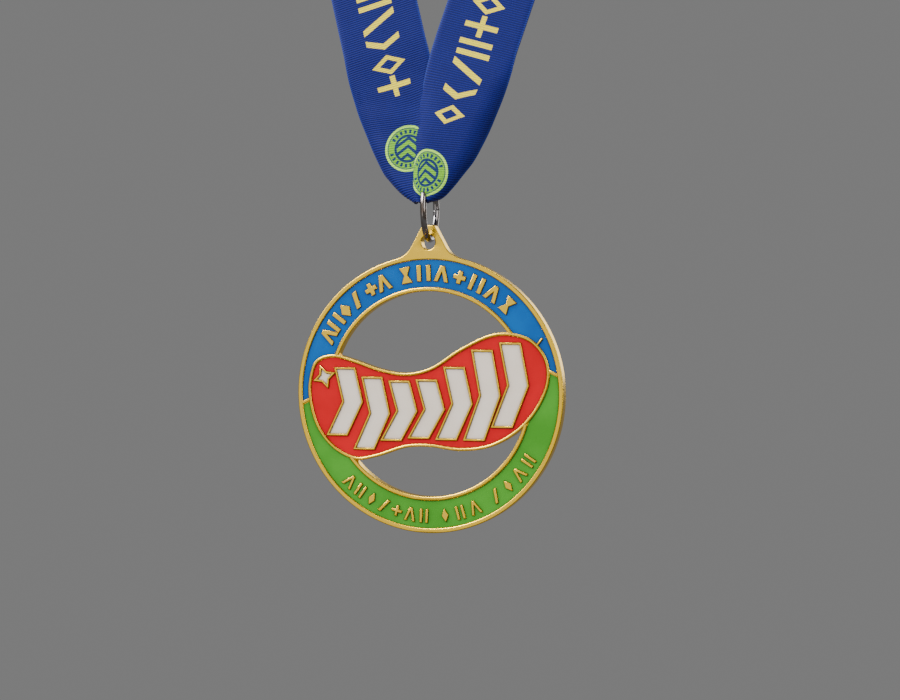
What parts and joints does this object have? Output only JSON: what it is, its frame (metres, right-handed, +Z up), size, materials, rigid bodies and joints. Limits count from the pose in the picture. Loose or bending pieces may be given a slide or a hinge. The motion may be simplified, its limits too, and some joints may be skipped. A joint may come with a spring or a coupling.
{
  "type": "sports finisher medal",
  "caption": "Cast ring medal with enamel bands and a bean-shaped plaque, hung by a jump ring from a woven V-shaped neck ribbon.",
  "frame": {"origin": "the middle of the neck ribbon at the nape, where the wearer's neck holds it", "axes": "+Z up, +X to the right seen from the front, the medal's face looks along -Y"},
  "size_m": [0.17, 0.1674, 0.3731],
  "materials": {
    "gold_plate": "polished gold plate over cast zinc",
    "blue_enamel": "soft enamel, glossy",
    "green_enamel": "soft enamel, glossy",
    "red_enamel": "soft enamel, glossy",
    "white_enamel": "soft enamel, satin",
    "ring_steel": "nickel-plated steel wire",
    "ribbon_fabric": "grosgrain polyester, royal blue with printed marks"
  },
  "bodies": {
    "ribbon": {"neck_ribbon": "ribbon_fabric"},
    "ring": {"jump_ring": "ring_steel"},
    "medal": {"medal_casting": "gold_plate", "blue_enamel": "blue_enamel", "green_enamel": "green_enamel", "red_enamel": "red_enamel", "white_arrow_1": "white_enamel", "white_arrow_2": "white_enamel", "white_arrow_3": "white_enamel", "white_arrow_4": "white_enamel", "white_arrow_5": "white_enamel", "white_arrow_6": "white_enamel", "white_arrow_7": "white_enamel", "white_sparkle": "white_enamel"}
  },
  "joints": [
    {"name": "ring_sway", "type": "hinge", "parent": "ribbon", "child": "ring", "pos_m": [0, -0.15, -0.2632], "axis": [0, 1, 0], "range_deg": [-30, 30]},
    {"name": "medal_swing", "type": "hinge", "parent": "ring", "child": "medal", "pos_m": [0, -0.15, -0.2671], "axis": [0.9952, 0.0976, 0], "range_deg": [-65, 60]}
  ]
}
